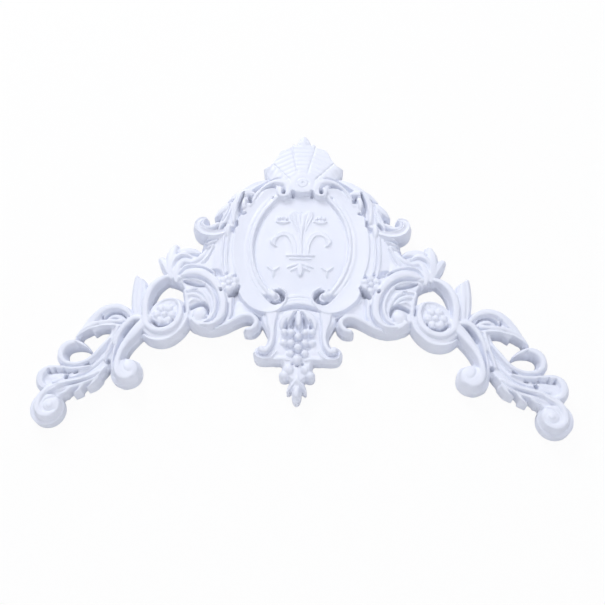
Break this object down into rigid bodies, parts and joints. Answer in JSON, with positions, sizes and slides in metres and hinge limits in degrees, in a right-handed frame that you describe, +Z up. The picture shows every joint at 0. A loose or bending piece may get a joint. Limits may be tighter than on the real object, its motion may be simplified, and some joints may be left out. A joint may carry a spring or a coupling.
{
  "type": "door pediment",
  "caption": "Rococo door pediment: a one-piece cast moulding with a shell crest, oval cartouche, leafy scroll wings and grape pendant, fixed flat above a door or opening",
  "frame": {"origin": "on the flat back face, behind the oval cartouche, where the moulding is fixed to the wall", "axes": "+X right as seen from the front, +Z up, +Y into the wall; the carved face looks along -Y"},
  "size_m": [0.6, 0.028, 0.387],
  "materials": {
    "satin_resin": "satin white cast polyurethane resin"
  },
  "bodies": {
    "root": {"pediment": "satin_resin"}
  },
  "joints": []
}
